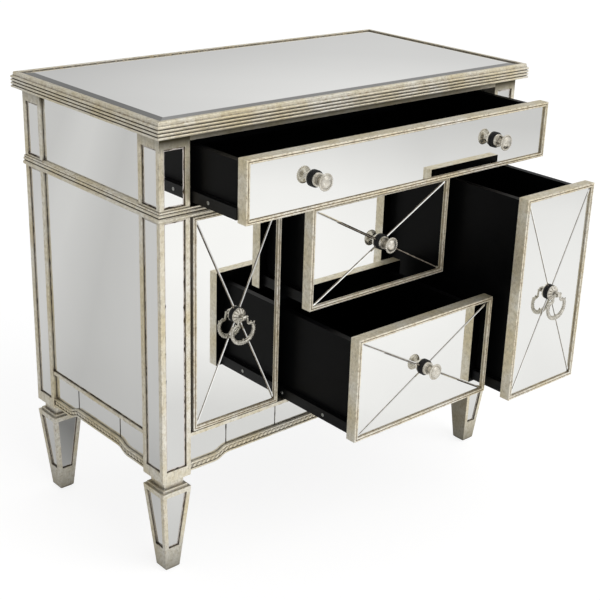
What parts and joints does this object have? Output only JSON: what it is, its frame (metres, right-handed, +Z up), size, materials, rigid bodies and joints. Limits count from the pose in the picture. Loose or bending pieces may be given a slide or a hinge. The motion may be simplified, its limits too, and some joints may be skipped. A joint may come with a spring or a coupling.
{
  "type": "mirrored chest of drawers",
  "caption": "Straight-sided mirrored chest of drawers in antique silver leaf, with sliding drawers, turned knobs and hanging ring pulls, on tapered feet.",
  "frame": {"origin": "on the floor, under the middle of the chest as it stands with its drawers open", "axes": "+X along the front to the right, +Y from the front to the back, +Z up"},
  "size_m": [0.912, 0.7408, 0.864],
  "materials": {
    "silver_leaf": "antique silver leaf over carved wood, rubbed along the edges",
    "mirror": "silvered plate glass",
    "black_lacquer": "satin black lacquer",
    "black_steel": "black coated steel",
    "nickel": "antique nickel",
    "rubber": "matt black"
  },
  "bodies": {
    "case": {"top_board": "black_lacquer", "top_moulding": "silver_leaf", "top_mirror": "mirror", "post_front_left": "silver_leaf", "post_front_right": "silver_leaf", "post_back_left": "silver_leaf", "post_back_right": "silver_leaf", "post_mirrors": "mirror", "feet": "silver_leaf", "foot_mirrors": "mirror", "foot_bolts": "black_steel", "side_panel_left": "black_lacquer", "side_panel_right": "black_lacquer", "side_mirrors": "mirror", "belt_moulding": "silver_leaf", "apron_front": "silver_leaf", "apron_left": "silver_leaf", "apron_right": "silver_leaf", "apron_tiles": "mirror", "apron_trim": "silver_leaf", "top_rail": "silver_leaf", "waist_panel": "black_lacquer", "middle_shelf": "black_lacquer", "divider_left": "black_lacquer", "divider_right": "black_lacquer", "back_panel": "black_lacquer", "bottom_panel": "black_lacquer", "case_runners": "black_steel"},
    "top_drawer": {"top_drawer_front": "silver_leaf", "top_drawer_mirror": "mirror", "top_drawer_box": "black_lacquer", "top_drawer_rails": "black_steel", "top_drawer_washers": "rubber", "top_drawer_knobs": "nickel"},
    "upper_middle_drawer": {"upper_middle_drawer_front": "silver_leaf", "upper_middle_drawer_mirror": "mirror", "upper_middle_drawer_box": "black_lacquer", "upper_middle_drawer_rails": "black_steel", "upper_middle_drawer_washers": "rubber", "upper_middle_drawer_knobs": "nickel"},
    "lower_middle_drawer": {"lower_middle_drawer_front": "silver_leaf", "lower_middle_drawer_mirror": "mirror", "lower_middle_drawer_box": "black_lacquer", "lower_middle_drawer_rails": "black_steel", "lower_middle_drawer_washers": "rubber", "lower_middle_drawer_knobs": "nickel"},
    "left_drawer": {"left_drawer_front": "silver_leaf", "left_drawer_mirror": "mirror", "left_drawer_box": "black_lacquer", "left_drawer_rails": "black_steel", "left_drawer_washers": "rubber", "left_drawer_rosette": "nickel"},
    "left_ring": {"left_drawer_ring": "nickel"},
    "right_drawer": {"right_drawer_front": "silver_leaf", "right_drawer_mirror": "mirror", "right_drawer_box": "black_lacquer", "right_drawer_rails": "black_steel", "right_drawer_washers": "rubber", "right_drawer_rosette": "nickel"},
    "right_ring": {"right_drawer_ring": "nickel"}
  },
  "joints": [
    {"name": "top_drawer_slide", "type": "slide", "parent": "case", "child": "top_drawer", "axis": [0, -1, 0], "range_m": [-0.141, 0.159]},
    {"name": "upper_middle_drawer_slide", "type": "slide", "parent": "case", "child": "upper_middle_drawer", "axis": [0, -1, 0], "range_m": [-0.079, 0.221]},
    {"name": "lower_middle_drawer_slide", "type": "slide", "parent": "case", "child": "lower_middle_drawer", "axis": [0, -1, 0], "range_m": [-0.21, 0.09]},
    {"name": "left_drawer_slide", "type": "slide", "parent": "case", "child": "left_drawer", "axis": [0, -1, 0], "range_m": [0, 0.3]},
    {"name": "left_ring_swing", "type": "hinge", "parent": "left_drawer", "child": "left_ring", "pos_m": [-0.2751, -0.09625, 0.48555], "axis": [-1, 0, 0], "range_deg": [-13, 100]},
    {"name": "right_drawer_slide", "type": "slide", "parent": "case", "child": "right_drawer", "axis": [0, -1, 0], "range_m": [-0.269, 0.031]},
    {"name": "right_ring_swing", "type": "hinge", "parent": "right_drawer", "child": "right_ring", "pos_m": [0.2751, -0.36525, 0.48555], "axis": [-1, 0, 0], "range_deg": [-13, 100]}
  ]
}
